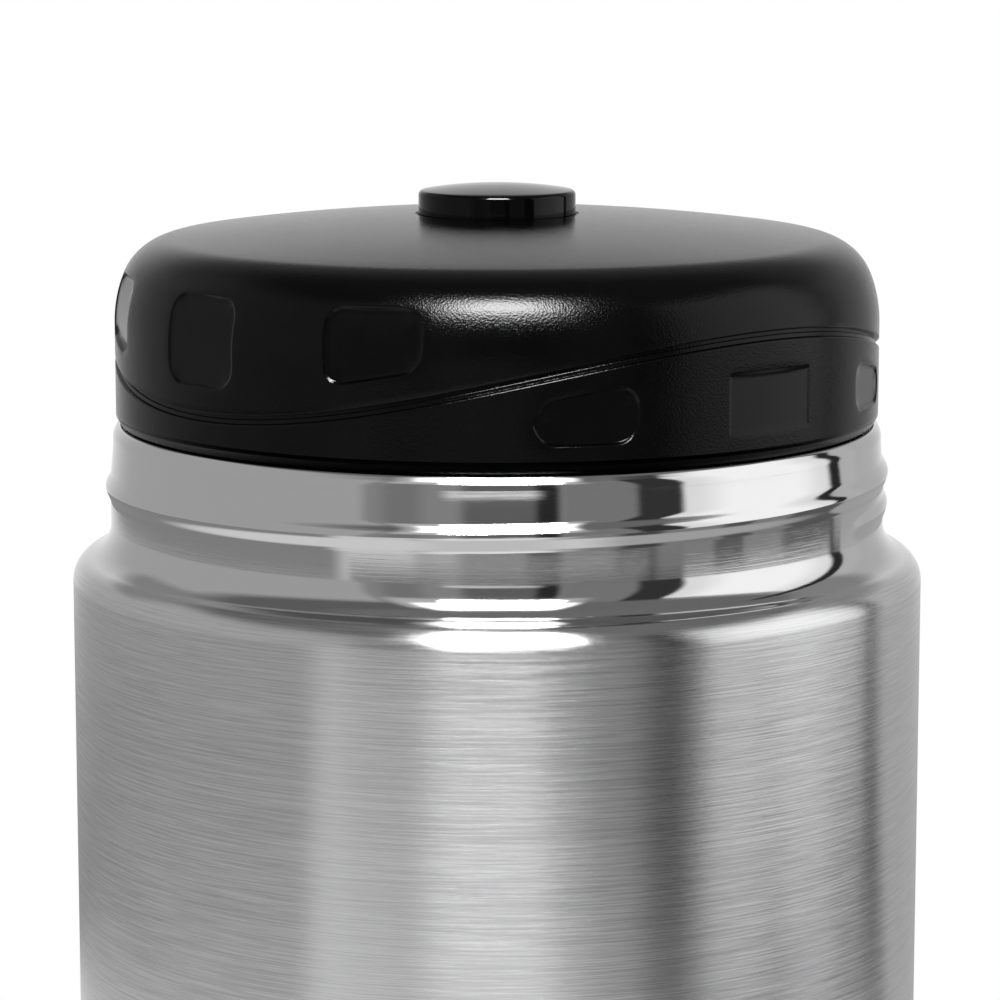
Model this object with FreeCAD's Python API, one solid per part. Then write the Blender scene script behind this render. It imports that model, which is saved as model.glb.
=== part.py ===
import FreeCAD, Part
import math
import os
from FreeCAD import Vector

os.makedirs("parts", exist_ok=True)

# Insulated food jar with a screw-in stopper lid and a pressure-release button.
# Millimetres, +Z up, origin at the middle of the surface the jar stands on.
# Angles round the axis start at the front (-Y) and grow towards +X.

# Driving sizes: jar
body_radius = 50.0
lip_height = 110.65
shell_wall = 0.6
shoulder_height = 92.2
shoulder_round = 3.2
neck_radius = 45.45
neck_fillet = 4.0
bead_radius = 45.1
bead_height = 2.7
bead_round_limit = 0.4
base_round = 2.6
base_flange_radius = 44.0
liner_radius = 46.0
liner_wall = 0.5
liner_floor_height = 8.5
liner_floor_round = 12.0
liner_shoulder_drop = 5.05
liner_neck_rise = 2.95
liner_rim_drop = 0.55
mouth_radius = 43.0

# Driving sizes: threads
thread_pitch = 3.9
outer_thread_height = 0.6
outer_thread_half_width = 1.5
outer_thread_drop = 6.45
outer_thread_start = -298.0
outer_thread_end = 145.0
outer_thread_fade = 35.0
outer_thread_sink = 0.8
plug_thread_depth = 1.0
plug_thread_root = 1.8
plug_thread_tip = 0.9
plug_thread_turns = 0.8
mouth_thread_turns = 1.0
mouth_thread_drop = 9.6
thread_axial_offset = 1.75

# Driving sizes: base
pad_thickness = 1.0
pad_inner_radius = 31.0
pad_groove_width = 2.0
pad_groove_depth = 0.4
pad_clearance = 1.0
plate_rise = 3.2
plate_step_inset = 3.0
plate_clearance = 0.2
cap_thickness = 0.6
cap_dish_radius = 26.0
cap_dish_depth = 0.5
cap_clearance = 0.05
vacuum_hole_radius = 1.5
vacuum_plug_radius = 5.0
vacuum_plug_height = 0.8
getter_radius = 6.0
getter_height = 1.8
getter_dimple_radius = 4.5
getter_dimple_depth = 0.6
getter_offset = 22.0
foil_thickness = 0.15

# Driving sizes: lid
lid_radius = 44.72
lid_wall = 2.0
lid_bottom_gap = 0.2
lid_chamfer_out = 0.52
lid_chamfer_up = 0.9
dome_height = 24.35
dome_side_height = 11.85
dome_upper_side_radius = 15.0
dome_upper_side_turn = 21.5
dome_crown_radius = 270.0
spigot_wall = 2.1
seam_height = 8.99
seam_wave = 4.65
seam_phase = 5.8
groove_half = 0.6
groove_depth = 0.5
recess_depth = 0.45
recess_half_angle = 7.4
recess_seam_gap_upper = 3.2
recess_seam_gap_lower = 2.9
recess_top = 17.95
recess_bottom = 3.05
first_recess = -77.5
recess_step = 30.0
upper_recess_corners = [1.6, 1.6, 2.4]
lower_recess_corners = [2.9, 0.35, 2.4]

# Driving sizes: stopper, button and valve
plug_wall = 2.4
plug_depth = 16.1
plug_floor = 2.0
plug_flange = 1.5
plug_chamfer = 1.5
mouth_clearance = 0.4
gasket_thickness = 0.75
gasket_outer_radius = 43.9
gasket_gap = 0.1
ledge_thickness = 0.7
ledge_width = 0.7
ring_clearance = 0.1
foam_clearance = 0.3
flat_clearance = 0.1
cap_plate_thickness = 2.0
cap_plate_spot_radius = 5.0
cap_plate_spot_depth = 0.8
cap_plate_spot_circle = 26.0
gasket_chamfer = 0.25
gasket_bore_clearance = 0.15
button_radius = 9.2
button_rise = 3.3
button_crown = 0.7
button_edge = 0.6
button_wall = 1.4
button_top_wall = 2.0
button_skirt = 10.5
button_clearance = 0.08
guide_rim_wall = 0.27
guide_rim_height = 0.23
guide_wall = 1.9
guide_floor = 6.2
guide_top_clearance = 0.5
boss_radius = 3.2
boss_length = 6.0
stem_radius = 1.6
stem_socket = 0.5
valve_hole_radius = 2.2
stem_bore_radius = 2.6
sleeve_wall = 1.2
oring_wire = 0.45
oring_clearance = 0.05
oring_drop = 1.6
valve_seal_radius = 6.0
valve_seal_thickness = 1.5
valve_seal_taper = 2.0
valve_seal_edge = 0.5
valve_seal_gap = 0.1
retainer_radius = 3.4
retainer_thickness = 0.8
spring_wire = 0.7
spring_radius = 5.4
spring_turns = 6

# Levels worked out from the driving sizes
fillet_run = max(0.0, neck_radius + neck_fillet - body_radius + shoulder_round)
fillet_rise = math.sqrt((shoulder_round + neck_fillet) ** 2 - fillet_run ** 2)
neck_base = shoulder_height + fillet_rise
liner_neck_base = shoulder_height + liner_neck_rise
liner_shoulder = shoulder_height - liner_shoulder_drop
gasket_bottom = lip_height + gasket_gap
gasket_top = gasket_bottom + gasket_thickness
ledge_bottom = gasket_top + flat_clearance / 2
ledge_top = ledge_bottom + ledge_thickness
flange_top = ledge_top + plug_flange
ring_inner_radius = lid_radius - lid_wall
flange_radius = ring_inner_radius - ring_clearance
plug_bottom = lip_height - plug_depth
mouth_thread_crest = mouth_radius - plug_thread_depth
plug_radius = mouth_thread_crest - mouth_clearance
plug_bore = plug_radius - plug_wall
plug_thread_crest = mouth_radius - mouth_clearance
dome_top = lip_height + dome_height
button_top = dome_top + button_rise
guide_radius = button_radius + button_clearance
seam_level = lip_height + seam_height
dome_hole_radius = guide_radius + guide_rim_wall
guide_seat = flange_top + guide_floor
cap_plate_bottom = flange_top - cap_plate_thickness
button_roof = button_top - button_crown - button_top_wall
seal_top = plug_bottom - valve_seal_gap
seal_bottom = seal_top - valve_seal_thickness
stem_end = seal_bottom - retainer_thickness
stem_top = button_roof - stem_socket
oring_radius = stem_bore_radius - oring_clearance - oring_wire
plate_low = pad_thickness + shell_wall
plate_top = plate_low + plate_rise


def polar(radius, angle, z):
    turn = math.radians(angle)
    return Vector(radius * math.sin(turn), -radius * math.cos(turn), z)


def seam_z(angle):
    return seam_level + seam_wave * math.sin(math.radians(2 * angle + seam_phase))


def outline_edges(steps):
    """Edges in the XZ plane: a pair is a corner, a pair of pairs is an arc through the first."""
    edges = []
    here = steps[0]
    for step in steps[1:] + [steps[0]]:
        if isinstance(step[0], tuple):
            middle, end = step
            points = [Vector(r, 0, z) for r, z in (here, middle, end)]
            edges.append(Part.Arc(*points).toShape())
        else:
            end = step
            if math.dist(here, end) > 1e-6:
                edges.append(Part.makeLine(Vector(here[0], 0, here[1]), Vector(end[0], 0, end[1])))
        here = end
    return edges


def revolved(*steps):
    wire = Part.Wire(outline_edges(list(steps)))
    solid = Part.Face(wire).revolve(Vector(0, 0, 0), Vector(0, 0, 1), 360)
    return solid


def tube(inner, outer, low, high):
    if inner <= 0:
        return Part.makeCylinder(outer, high - low, Vector(0, 0, low))
    return revolved((inner, low), (outer, low), (outer, high), (inner, high))


def arc_point(centre, radius, degrees):
    turn = math.radians(degrees)
    return (centre[0] + radius * math.cos(turn), centre[1] + radius * math.sin(turn))


def arc_step(centre, radius, start, end):
    return (arc_point(centre, radius, (start + end) / 2), arc_point(centre, radius, end))


def crown_step(start, top):
    """A spherical crown from the point called start up to the axis."""
    drop = top - start[1]
    radius = (start[0] ** 2 + drop ** 2) / (2 * drop)
    middle = start[0] / 2
    return ((middle, top - radius + math.sqrt(radius ** 2 - middle ** 2)), (0, top))


def swept(points, profile):
    """Carries a profile along a smooth curve without letting it roll."""
    curve = Part.BSplineCurve()
    curve.interpolate(Points=points)
    pipe = Part.BRepOffsetAPI.MakePipeShell(Part.Wire(curve.toShape()))
    pipe.setBiNormalMode(Vector(0, 0, 1))
    pipe.add(Part.Wire(profile))
    pipe.build()
    pipe.makeSolid()
    return pipe.shape()


def helical_ridge(section, start, end, front_z, dip, fade):
    """A thread ridge along a helix whose two ends sink into the wall over an angle called fade."""
    points = []
    count = int((end - start) / 12) + 1
    for i in range(count + 1):
        angle = start + (end - start) * i / count
        nearest_end = min(angle - start, end - angle)
        sink = dip * (1 - math.sin(math.radians(90 * min(1.0, nearest_end / fade))))
        points.append(polar(section[0][0] - sink, angle, front_z + thread_pitch * angle / 360))
    corners = [polar(r - dip, start, points[0].z + z) for r, z in section]
    if len(section) == 3:
        profile = [Part.Arc(*corners).toShape(), Part.makeLine(corners[2], corners[0])]
    else:
        profile = Part.makePolygon(corners + [corners[0]]).Edges
    return swept(points, profile)


def save(name, solid):
    if isinstance(solid, Part.Compound) and len(solid.Solids) == 1:
        solid = solid.Solids[0]
    if not solid.isValid() or solid.Volume <= 0:
        raise ValueError(name + " is not a sound solid")
    solid.exportStep("parts/" + name + ".step")
    print(name, len(solid.Solids), round(solid.Volume, 1))


# Jar
def outer_shell():
    wall = shell_wall
    shoulder = (body_radius - shoulder_round, shoulder_height)
    fillet = (neck_radius + neck_fillet, neck_base)
    lean = math.degrees(math.atan2(fillet_rise, fillet_run))
    corner = (body_radius - base_round, pad_thickness + base_round)
    bead_base = lip_height - bead_height
    inner_bead = mouth_radius + liner_wall
    bead_round = min((bead_radius - inner_bead) / 2, bead_round_limit * bead_height)
    bead = (bead_radius - bead_round, lip_height - bead_round)
    bead_inside = (inner_bead + bead_round, bead[1])
    shell = revolved(
        (base_flange_radius, pad_thickness),
        (corner[0], pad_thickness),
        arc_step(corner, base_round, -90, 0),
        (body_radius, shoulder_height),
        arc_step(shoulder, shoulder_round, 0, lean),
        arc_point(fillet, neck_fillet, lean + 180),
        arc_step(fillet, neck_fillet, lean + 180, 180),
        (neck_radius, bead_base - 1.0),
        (bead_radius, bead_base + 0.6),
        (bead_radius, bead[1]),
        arc_step(bead, bead_round, 0, 90),
        (bead_inside[0], lip_height),
        arc_step(bead_inside, bead_round, 90, 180),
        (inner_bead, bead_base),
        (neck_radius - wall, bead_base - 1.2),
        (neck_radius - wall, neck_base),
        arc_step(fillet, neck_fillet + wall, 180, lean + 180),
        arc_point(shoulder, shoulder_round - wall, lean),
        arc_step(shoulder, shoulder_round - wall, lean, 0),
        (body_radius - wall, corner[1]),
        arc_step(corner, base_round - wall, 0, -90),
        (base_flange_radius, pad_thickness + wall),
    )
    foot = neck_radius - wall / 2
    crest = neck_radius + outer_thread_height
    half = outer_thread_half_width
    section = [(foot, -half), (crest, 0), (foot, half)]
    front_crest = lip_height - outer_thread_drop
    ridge = helical_ridge(
        section, outer_thread_start, outer_thread_end, front_crest, outer_thread_sink, outer_thread_fade
    )
    return shell.fuse(ridge).removeSplitter()


def inner_liner():
    wall = liner_wall
    inside = liner_radius
    floor_round = (inside - liner_floor_round, liner_floor_height + liner_floor_round)
    top = lip_height - liner_rim_drop
    body = revolved(
        (0, liner_floor_height - wall),
        (floor_round[0], liner_floor_height - wall),
        arc_step(floor_round, liner_floor_round + wall, -90, 0),
        (inside + wall, liner_shoulder),
        (mouth_radius + wall, liner_neck_base),
        (mouth_radius + wall, top),
        (mouth_radius, top),
        (mouth_radius, liner_neck_base),
        (inside, liner_shoulder),
        (inside, floor_round[1]),
        arc_step(floor_round, liner_floor_round, 0, -90),
        (0, liner_floor_height),
    )
    root = mouth_radius + wall / 2
    ridge = helical_ridge(
        [
            (root, -plug_thread_root / 2),
            (root, plug_thread_root / 2),
            (mouth_thread_crest, plug_thread_tip / 2),
            (mouth_thread_crest, -plug_thread_tip / 2),
        ],
        0,
        360 * mouth_thread_turns,
        lip_height - mouth_thread_drop,
        0,
        30,
    )
    return body.fuse(ridge).removeSplitter()


def shell_bottom():
    edge = body_radius - base_round - plate_clearance
    step = base_flange_radius - plate_step_inset
    wall = shell_wall
    plate = revolved(
        (0, plate_top),
        (step - plate_rise, plate_top),
        (step, plate_low),
        (edge, plate_low),
        (edge, plate_low + wall),
        (step + wall * 0.4, plate_low + wall),
        (step + wall * 0.4 - plate_rise, plate_top + wall),
        (0, plate_top + wall),
    )
    hole = Part.makeCylinder(vacuum_hole_radius, 2 * wall, Vector(0, 0, plate_top - wall / 2))
    return plate.cut(hole)


def vacuum_plug():
    low = plate_top - vacuum_plug_height
    inner = vacuum_plug_radius - 1
    disc = revolved((0, low), (inner, low), (vacuum_plug_radius, plate_top), (0, plate_top))
    nub = Part.makeCylinder(vacuum_hole_radius, shell_wall / 2, Vector(0, 0, plate_top))
    return disc.fuse(nub).removeSplitter()


def getter():
    low = plate_top + shell_wall
    pellet = Part.makeCylinder(getter_radius, getter_height, Vector(getter_offset, 0, low))
    floor = Vector(getter_offset, 0, low + getter_height - getter_dimple_depth)
    return pellet.cut(Part.makeCylinder(getter_dimple_radius, getter_height, floor))


def liner_foil():
    inner = liner_radius + liner_wall
    return tube(inner, inner + foil_thickness, liner_floor_height + liner_floor_round, liner_shoulder)


def base_cap():
    low = pad_thickness
    dish = low + cap_dish_depth
    slope = cap_dish_radius + 2 * cap_dish_depth
    edge = base_flange_radius - cap_clearance
    wall = cap_thickness
    return revolved(
        (0, dish),
        (cap_dish_radius, dish),
        (slope, low),
        (edge, low),
        (edge, low + wall),
        (slope + wall / 2, low + wall),
        (cap_dish_radius + wall / 2, dish + wall),
        (0, dish + wall),
    )


def base_pad():
    outer = base_flange_radius - pad_clearance
    groove = (outer + pad_inner_radius - pad_groove_width) / 2
    pad = tube(pad_inner_radius, outer, 0, pad_thickness)
    return pad.cut(tube(groove, groove + pad_groove_width, -1, pad_groove_depth))


# Lid shells
def dome_centres():
    """Centres of the side and edge arcs, with the edge arc tangent to both the side and the crown."""
    side = (lid_radius - dome_upper_side_radius, lip_height + dome_side_height)
    joint = arc_point(side, dome_upper_side_radius, dome_upper_side_turn)
    lean = arc_point((0, 0), 1, dome_upper_side_turn)
    over_centre = (joint[0], joint[1] - dome_top + dome_crown_radius)
    along = lean[0] * over_centre[0] + lean[1] * over_centre[1]
    edge_radius = (dome_crown_radius ** 2 - math.hypot(*over_centre) ** 2) / (2 * (dome_crown_radius - along))
    edge = (joint[0] - edge_radius * lean[0], joint[1] - edge_radius * lean[1])
    return side, edge, edge_radius


def dome_solid(inset, low, hole):
    """A solid with the dome's outside moved inwards by inset, open round the axis by hole."""
    side, edge, edge_radius = dome_centres()
    turn = dome_upper_side_turn
    crown_centre = (0, dome_top - dome_crown_radius)
    crown_radius = dome_crown_radius - inset
    lean = math.degrees(math.atan2(edge[1] - crown_centre[1], edge[0]))
    inner_lean = math.degrees(math.acos(hole / crown_radius))
    return revolved(
        (hole, low),
        (lid_radius - inset, low),
        (lid_radius - inset, side[1]),
        arc_step(side, dome_upper_side_radius - inset, 0, turn),
        arc_step(edge, edge_radius - inset, turn, lean),
        arc_step(crown_centre, crown_radius, lean, inner_lean),
    )


def loop_through(points):
    curve = Part.BSplineCurve()
    curve.interpolate(Points=points, PeriodicFlag=True)
    return curve.toShape()


def wavy_loop(radius, rise):
    return loop_through([polar(radius, angle, seam_z(angle) + rise) for angle in range(0, 360, 10)])


def level_loop(radius, z):
    return loop_through([polar(radius, angle, z) for angle in range(0, 360, 10)])


def above_seam(steps, high):
    """The space over a wavy surface given as radius and rise, between its first and last radius."""
    loops = [wavy_loop(radius, rise) for radius, rise in steps]
    inner_top = level_loop(steps[0][0], high)
    outer_top = level_loop(steps[-1][0], high)
    rims = [inner_top] + loops + [outer_top, inner_top]
    faces = [Part.makeRuledSurface(a, b) for a, b in zip(rims, rims[1:])]
    shell = Part.makeShell(faces)
    shell.sewShape()
    solid = Part.makeSolid(Part.Shell(shell.Faces))
    if solid.Volume < 0:
        solid.reverse()
    return solid


def recess_prism(centre, near, far, corner):
    """A rounded outline pushed through the side wall, with one edge parallel to the parting line."""
    half = lid_radius * math.sin(math.radians(recess_half_angle))
    left = near + seam_z(centre - recess_half_angle)
    right = near + seam_z(centre + recess_half_angle)
    start = lid_radius - 5.0
    corners = [(-half, left), (half, right), (half, far), (-half, far)]
    wire = Part.makePolygon([Vector(x, -start, z) for x, z in corners + corners[:1]])
    prism = Part.Face(wire).extrude(Vector(0, -2 * (lid_radius - start), 0))
    long_edges = [e for e in prism.Edges if abs(e.tangentAt(e.FirstParameter).y) > 0.99]
    room = 0.48 * min(abs(far - left), abs(far - right), 2 * half)
    prism = prism.makeFillet(min(corner, room), long_edges)
    prism.rotate(Vector(0, 0, 0), Vector(0, 0, 1), centre)
    return prism


def recess_skin(low):
    """Everything outside the recess floors, which run parallel to the lid's surface."""
    outside = tube(0, lid_radius + 6, low, dome_top + 6)
    return outside.cut(dome_solid(recess_depth, low - 1, 0.0))


def cut_recesses(solid, first, corners, near, far, low):
    """Cuts a row of recesses, and the same row again half a turn on."""
    skin = recess_skin(low)
    for i, corner in enumerate(corners):
        for half_turn in (0, 180):
            centre = first + i * recess_step + half_turn
            solid = solid.cut(recess_prism(centre, near, far, corner).common(skin))
    return solid


def lid_dome():
    shell = dome_solid(0, ledge_top, dome_hole_radius).cut(dome_solid(lid_wall, ledge_top - 1, 0))
    inner = ring_inner_radius - spigot_wall
    outer = lid_radius + 3
    high = dome_top + 5
    cover_zone = above_seam([(inner, groove_half), (outer, groove_half)], high)
    cover = shell.common(cover_zone.fuse(tube(0, inner + spigot_wall / 2, ledge_top, high)))
    spigot = tube(inner, ring_inner_radius, flange_top, lip_height + dome_side_height)
    cover = cover.fuse(spigot).removeSplitter()
    far = lip_height + recess_top
    return cut_recesses(
        cover, first_recess, upper_recess_corners, recess_seam_gap_upper, far, lip_height + recess_bottom
    )


def grip_ring():
    bottom = lip_height + lid_bottom_gap
    top = seam_level + seam_wave + 3
    foot = gasket_outer_radius + flat_clearance / 2
    shell = revolved(
        (ring_inner_radius, ledge_top),
        (ring_inner_radius - ledge_width, ledge_top),
        (ring_inner_radius - ledge_width, ledge_bottom),
        (foot, ledge_bottom),
        (foot, bottom),
        (lid_radius - lid_chamfer_out, bottom),
        (lid_radius, bottom + lid_chamfer_up),
        (lid_radius, top),
        (ring_inner_radius, top),
    )
    bevel = [
        (ring_inner_radius - 2, groove_half),
        (lid_radius - groove_depth, groove_half),
        (lid_radius, -groove_half),
        (lid_radius + 3, -groove_half),
    ]
    ring = shell.cut(above_seam(bevel, top + 5))
    first = first_recess + recess_step * len(upper_recess_corners)
    far = lip_height + recess_bottom
    return cut_recesses(ring, first, lower_recess_corners, -recess_seam_gap_lower, far, bottom)


# Stopper
def stopper_body():
    floor_top = plug_bottom + plug_floor
    body = revolved(
        (valve_hole_radius, plug_bottom),
        (plug_radius - plug_chamfer, plug_bottom),
        (plug_radius, plug_bottom + plug_chamfer),
        (plug_radius, ledge_top),
        (flange_radius, ledge_top),
        (flange_radius, flange_top),
        (plug_bore, flange_top),
        (plug_bore, floor_top),
        (valve_hole_radius, floor_top),
    )
    root = plug_radius - plug_wall / 4
    ridge = helical_ridge(
        [
            (root, plug_thread_root / 2),
            (root, -plug_thread_root / 2),
            (plug_thread_crest, -plug_thread_tip / 2),
            (plug_thread_crest, plug_thread_tip / 2),
        ],
        0,
        360 * plug_thread_turns,
        lip_height - mouth_thread_drop - thread_axial_offset,
        0,
        30,
    )
    return body.fuse(ridge).removeSplitter()


def stopper_foam():
    low = plug_bottom + plug_floor + flat_clearance
    high = cap_plate_bottom - flat_clearance
    hole = stem_bore_radius + sleeve_wall + foam_clearance
    return tube(hole, plug_bore - foam_clearance, low, high)


def stopper_cap():
    plate = tube(stem_bore_radius, plug_bore - flat_clearance, cap_plate_bottom, flange_top)
    for angle in range(30, 360, 60):
        spot = polar(cap_plate_spot_circle, angle, flange_top - cap_plate_spot_depth)
        plate = plate.cut(Part.makeCylinder(cap_plate_spot_radius, 2 * cap_plate_spot_depth, spot))
    return plate


def stem_sleeve():
    low = plug_bottom + plug_floor
    return tube(stem_bore_radius, stem_bore_radius + sleeve_wall, low, cap_plate_bottom)


def mouth_gasket():
    inner = plug_radius + gasket_bore_clearance
    return revolved(
        (inner, gasket_bottom),
        (gasket_outer_radius - gasket_chamfer, gasket_bottom),
        (gasket_outer_radius, gasket_bottom + gasket_chamfer),
        (gasket_outer_radius, gasket_top),
        (inner, gasket_top),
    )


# Button and valve
def release_button():
    side_top = button_top - button_crown - button_edge
    rim = (button_radius - button_edge, side_top)
    inner = button_radius - button_wall
    skirt_end = button_top - button_crown - button_skirt
    boss_end = button_roof - boss_length
    return revolved(
        (0, stem_top),
        (stem_radius, stem_top),
        (stem_radius, boss_end),
        (boss_radius, boss_end),
        (boss_radius, button_roof),
        (inner, button_roof),
        (inner, skirt_end),
        (button_radius, skirt_end),
        (button_radius, side_top),
        arc_step(rim, button_edge, 0, 80),
        crown_step(arc_point(rim, button_edge, 80), button_top),
    )


def button_guide():
    under_dome = dome_top - lid_wall - guide_top_clearance
    outer = guide_radius + guide_wall
    rim_top = dome_top + guide_rim_height
    return revolved(
        (stem_bore_radius, flange_top),
        (outer, flange_top),
        (outer, under_dome),
        (dome_hole_radius, under_dome),
        (dome_hole_radius, rim_top),
        (guide_radius, rim_top),
        (guide_radius, guide_seat),
        (stem_bore_radius, guide_seat),
    )


def button_spring():
    low = guide_seat + spring_wire / 2
    length = button_roof - guide_seat - spring_wire
    turn = 360 * spring_turns
    points = [polar(spring_radius, angle, low + length * angle / turn) for angle in range(0, turn + 1, 20)]
    return swept(points, [Part.makeCircle(spring_wire / 2, points[0], Vector(1, 0, 0))])


def oring_solid():
    return Part.makeTorus(oring_radius, oring_wire, Vector(0, 0, guide_seat - oring_drop))


def valve_stem():
    rod = Part.makeCylinder(stem_radius, stem_top - stem_end, Vector(0, 0, stem_end))
    return rod.cut(oring_solid())


def stem_oring():
    return oring_solid()


def valve_seal():
    return revolved(
        (stem_radius, seal_bottom),
        (valve_seal_radius - valve_seal_taper, seal_bottom),
        (valve_seal_radius, seal_top - valve_seal_edge),
        (valve_seal_radius, seal_top),
        (stem_radius, seal_top),
    )


def seal_retainer():
    return tube(stem_radius, retainer_radius, stem_end, seal_bottom)


makers = [
    outer_shell, inner_liner, shell_bottom, vacuum_plug, getter, liner_foil, base_cap, base_pad,
    lid_dome, grip_ring, stopper_body, stopper_foam, stopper_cap, stem_sleeve, mouth_gasket,
    release_button, button_guide, button_spring, valve_stem, stem_oring, valve_seal, seal_retainer,
]
for maker in makers:
    save(maker.__name__, maker())
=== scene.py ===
# %% [markdown]
# # An insulated food jar with a screw-in lid
# The real jar is two steel vessels with a vacuum between them, closed by a black plastic stopper.
# The measured model already has every piece in its place, in metres, with +Z up.
# This lesson gives each piece that can be seen a finer skin and its own finish.
# The measured model is loaded first, and nothing in it is moved.

# %% Load the measured model
import math

import bpy
from mathutils import Euler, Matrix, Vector


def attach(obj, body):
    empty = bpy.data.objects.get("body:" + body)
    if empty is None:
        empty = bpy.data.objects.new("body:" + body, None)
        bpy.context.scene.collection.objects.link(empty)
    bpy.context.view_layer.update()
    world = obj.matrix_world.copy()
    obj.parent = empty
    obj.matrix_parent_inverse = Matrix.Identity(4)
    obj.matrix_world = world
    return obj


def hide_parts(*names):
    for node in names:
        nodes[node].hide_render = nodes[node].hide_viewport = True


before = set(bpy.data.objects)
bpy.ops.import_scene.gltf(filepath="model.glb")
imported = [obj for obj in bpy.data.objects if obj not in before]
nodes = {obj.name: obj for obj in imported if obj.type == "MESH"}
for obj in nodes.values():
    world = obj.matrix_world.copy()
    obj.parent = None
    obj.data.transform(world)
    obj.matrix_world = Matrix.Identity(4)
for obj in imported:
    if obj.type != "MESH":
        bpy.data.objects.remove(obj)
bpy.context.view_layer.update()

MM = 0.001

# %% [markdown]
# ## The camera
# The photograph was taken from a little above the lid, with a long lens, so the jar shows almost
# no perspective. A 144 mm lens on a 36 mm wide frame gives the same rims and the same widths.
# The camera comes first, so that each new piece can be checked in the picture at once.

# %% Camera
LENS = 144.0
FRAME_WIDTH = 36.0
CAMERA_SPOT = Vector((0.345, -467.06, 177.09)) * MM
LOOKING_DOWN = 9.273

camera_data = bpy.data.cameras.new("camera")
camera_data.lens = LENS
camera_data.sensor_width = FRAME_WIDTH
camera_data.clip_start = 0.01
camera = bpy.data.objects.new("camera", camera_data)
camera.location = CAMERA_SPOT
camera.rotation_euler = Euler((math.radians(90 - LOOKING_DOWN), 0, 0))
bpy.context.scene.collection.objects.link(camera)
bpy.context.scene.camera = camera
print("camera at", [round(c, 4) for c in camera.location])

# %% [markdown]
# ## Turning a piece on the lathe
# Most pieces of a jar are round. On a real lathe a tool follows an outline while the work turns.
# Here a circle primitive supplies a closed string of points, each point is set on the outline,
# and a screw modifier without any rise carries the string once round the axis. It does what the
# spin operator does, much faster. One outline gives the inside, the outside and every rounded
# edge at once, so walls have their true thickness.

# %% Lathe tools
MERGE = 2e-6


def deselect_all():
    if bpy.context.object and bpy.context.object.mode != "OBJECT":
        bpy.ops.object.mode_set(mode="OBJECT")
    bpy.ops.object.select_all(action="DESELECT")


def arc(centre_r, centre_z, radius, start, end, count=8):
    """Points along a rounding between two angles in degrees, counted from outwards to up."""
    turns = [math.radians(start + (end - start) * i / count) for i in range(count + 1)]
    return [(centre_r + radius * math.cos(t), centre_z + radius * math.sin(t)) for t in turns]


def run(r0, z0, r1, z1, step):
    """Points along a straight part, both ends left out, about one step apart."""
    count = max(1, round(math.dist((r0, z0), (r1, z1)) / step))
    return [(r0 + (r1 - r0) * i / count, z0 + (z1 - z0) * i / count) for i in range(1, count)]


def clean_skin(piece, smooth_angle=35):
    """Closes seams and poles, points the faces outwards and sets the shading."""
    bpy.ops.object.mode_set(mode="EDIT")
    bpy.ops.mesh.select_all(action="SELECT")
    bpy.ops.mesh.remove_doubles(threshold=MERGE)
    bpy.ops.mesh.dissolve_degenerate(threshold=1e-7)
    bpy.ops.mesh.delete_loose(use_verts=True, use_edges=True, use_faces=False)
    bpy.ops.mesh.select_all(action="SELECT")
    bpy.ops.mesh.normals_make_consistent(inside=False)
    bpy.ops.object.mode_set(mode="OBJECT")
    bpy.ops.object.shade_smooth_by_angle(angle=math.radians(smooth_angle))


def turned(name, outline, steps=192):
    """Turns a closed outline of (radius, height) points in millimetres round the jar's axis."""
    deselect_all()
    bpy.ops.mesh.primitive_circle_add(vertices=len(outline), radius=0.01)
    piece = bpy.context.object
    piece.name = name
    piece.data.name = name
    for vertex, (r, z) in zip(piece.data.vertices, outline):
        vertex.co = (r * MM, 0, z * MM)
    bpy.ops.object.modifier_add(type="SCREW")
    lathe = piece.modifiers[-1]
    lathe.axis = "Z"
    lathe.angle = math.tau
    lathe.steps = lathe.render_steps = steps
    lathe.use_merge_vertices = True
    lathe.merge_threshold = MERGE
    bpy.ops.object.modifier_apply(modifier=lathe.name)
    clean_skin(piece)
    print(name, "turned:", len(piece.data.polygons), "faces")
    return piece


def azimuth(co):
    """Degrees round the axis, 0 at the front and growing to the right."""
    return math.degrees(math.atan2(co.x, -co.y))


def push(vertex, share):
    """Moves a point away from the axis, or towards it if the share is below 1."""
    vertex.co.x *= share
    vertex.co.y *= share


def finish_piece(piece, body, slot, *nodes):
    """Attaches the piece to what it moves with and hides the measured parts it stands for. The
    slot is not used.
    """
    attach(piece, body)
    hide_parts(*nodes)


# %% [markdown]
# ## The outer shell
# The body is drawn from steel sheet. Its shoulder rolls into a polished neck, the lip is a rolled
# bead, and a thread ridge is rolled into the neck from inside. The outline is turned first, with
# close rows on the neck, and then the neck's points are pushed out along the helix, as the
# roller does it. The ridge sinks away gently at both ends.

# %% Outer shell
SHELL_WALL = 0.6
BODY_RADIUS = 50.0
BASE_FOOT = 1.0
BASE_ROUND = 2.6
BASE_CORNER = (BODY_RADIUS - BASE_ROUND, BASE_FOOT + BASE_ROUND)
FLANGE_RADIUS = 44.0
NECK_RADIUS = 45.45
NECK_ROW = 0.12
LIP_RADIUS = 45.1
LIP_FOOT = 109.06
LIP_LEAN = 27.8
LIP_BEND = 2.0
LIP_ROUND = (44.25, 110.2, 0.45)
LIP_INSIDE = [(43.5, 107.95), (NECK_RADIUS - SHELL_WALL, 106.75)]
NECK_EASE = 103.5
SHOULDER = (46.8, 92.2)
SHOULDER_ROUND = 3.2
NECK_FILLET = 4.0
THREAD_PITCH = 3.9
RIDGE_HEIGHT = 0.6
RIDGE_HALF = 1.75
RIDGE_FRONT = 104.2
RIDGE_START = -298.0
RIDGE_END = 145.0
RIDGE_FADE = 40.0
RIDGE_TAIL = 0.13
RIDGE_LIMIT = 109.0

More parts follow.
